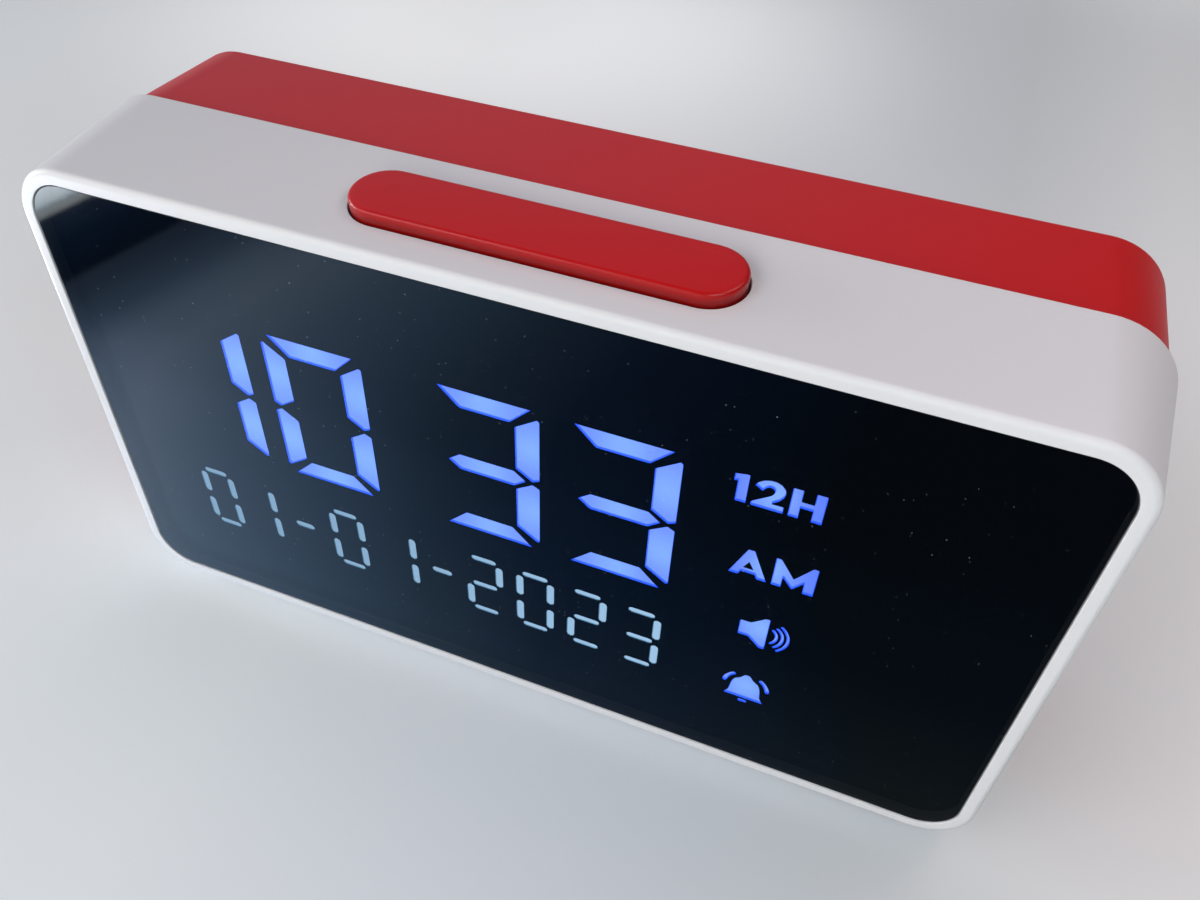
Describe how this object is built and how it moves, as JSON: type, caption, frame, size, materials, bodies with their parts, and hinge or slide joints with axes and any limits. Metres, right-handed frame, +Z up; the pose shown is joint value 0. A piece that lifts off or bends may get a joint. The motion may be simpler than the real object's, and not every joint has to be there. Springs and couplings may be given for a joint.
{
  "type": "talking alarm clock",
  "caption": "Desk clock with a wide dark display window in a rounded casing, a rear housing with controls and loudspeaker, and a long talk bar on top.",
  "frame": {"origin": "on the floor under the middle of the clock", "axes": "+X to the right of a person who faces the display, +Y from the display to the back, +Z up"},
  "size_m": [0.159, 0.044, 0.0908],
  "materials": {
    "casing_white": "satin",
    "window_black": "gloss",
    "housing_red": "satin",
    "bar_red": "gloss",
    "button_grey": "satin",
    "black_plastic": "matt",
    "dark_bars": "matt",
    "lit_blue": "lit",
    "lit_pale": "lit",
    "foam": "matt",
    "board": "satin",
    "led_white": "satin",
    "steel": "bright",
    "spring_steel": "bright",
    "plated": "bright",
    "magnet": "satin",
    "cone": "matt",
    "rubber": "matt",
    "cell_jacket": "satin",
    "can_blue": "satin",
    "wire_red": "satin",
    "wire_yellow": "satin",
    "wire_black": "satin",
    "ribbon": "satin",
    "header": "matt",
    "ivory": "matt"
  },
  "bodies": {
    "clock": {"front_casing": "casing_white", "display_lens": "window_black", "lens_tape": "foam", "display_reflector": "black_plastic", "time_segments_lit": "lit_blue", "time_segments_dark": "dark_bars", "date_segments_lit": "lit_pale", "date_segments_dark": "dark_bars", "status_symbols": "lit_blue", "display_board": "board", "display_leds": "led_white", "display_screws": "steel", "rear_housing": "housing_red", "case_screws": "steel", "rubber_feet": "rubber", "talk_bar_springs": "spring_steel", "bar_switch_board": "board", "bar_switch": "black_plastic", "bar_board_screws": "steel", "bar_leads": "wire_yellow", "main_board": "board", "controller_chip": "black_plastic", "voice_chip": "black_plastic", "crystal": "plated", "capacitors": "can_blue", "board_screws": "steel", "power_inlet": "plated", "rear_switches": "black_plastic", "voice_switch": "plated", "speaker_basket": "plated", "speaker_magnet": "magnet", "speaker_cone": "cone", "speaker_gasket": "foam", "speaker_screws": "steel", "speaker_leads": "wire_red", "batteries": "cell_jacket", "battery_springs": "spring_steel", "battery_plates": "plated", "battery_leads": "wire_black", "ribbon_cable": "ribbon", "ribbon_headers": "header"},
    "talk_bar": {"talk_bar": "bar_red", "bar_switch_plunger": "ivory"},
    "mode_button": {"mode_button": "button_grey", "mode_plunger": "ivory"},
    "set_button": {"set_button": "button_grey", "set_plunger": "ivory"},
    "up_button": {"up_button": "button_grey", "up_plunger": "ivory"},
    "down_button": {"down_button": "button_grey", "down_plunger": "ivory"},
    "alarm_button": {"alarm_button": "button_grey", "alarm_plunger": "ivory"},
    "voice_slider": {"voice_slider": "button_grey"},
    "battery_door": {"battery_door": "housing_red"}
  },
  "joints": [
    {"name": "talk_bar_press", "type": "slide", "parent": "clock", "child": "talk_bar", "axis": [0, 0.0938, -0.9956], "range_m": [0, 0.001], "stiffness_N_per_m": 1500, "springref_m": -0.0006, "deforming": ["talk_bar_springs"]},
    {"name": "mode_press", "type": "slide", "parent": "clock", "child": "mode_button", "axis": [0, -1, 0], "range_m": [0, 0.0008], "stiffness_N_per_m": 1500, "springref_m": -0.0005},
    {"name": "set_press", "type": "slide", "parent": "clock", "child": "set_button", "axis": [0, -1, 0], "range_m": [0, 0.0008], "stiffness_N_per_m": 1500, "springref_m": -0.0005},
    {"name": "up_press", "type": "slide", "parent": "clock", "child": "up_button", "axis": [0, -1, 0], "range_m": [0, 0.0008], "stiffness_N_per_m": 1500, "springref_m": -0.0005},
    {"name": "down_press", "type": "slide", "parent": "clock", "child": "down_button", "axis": [0, -1, 0], "range_m": [0, 0.0008], "stiffness_N_per_m": 1500, "springref_m": -0.0005},
    {"name": "alarm_press", "type": "slide", "parent": "clock", "child": "alarm_button", "axis": [0, -1, 0], "range_m": [0, 0.0008], "stiffness_N_per_m": 1500, "springref_m": -0.0005},
    {"name": "voice_slide", "type": "slide", "parent": "clock", "child": "voice_slider", "axis": [1, 0, 0], "range_m": [0, 0.004]},
    {"name": "battery_door_hinge", "type": "hinge", "parent": "clock", "child": "battery_door", "pos_m": [-0.022, 0.022, 0.0528], "axis": [1, 0, 0], "range_deg": [0, 70]}
  ]
}
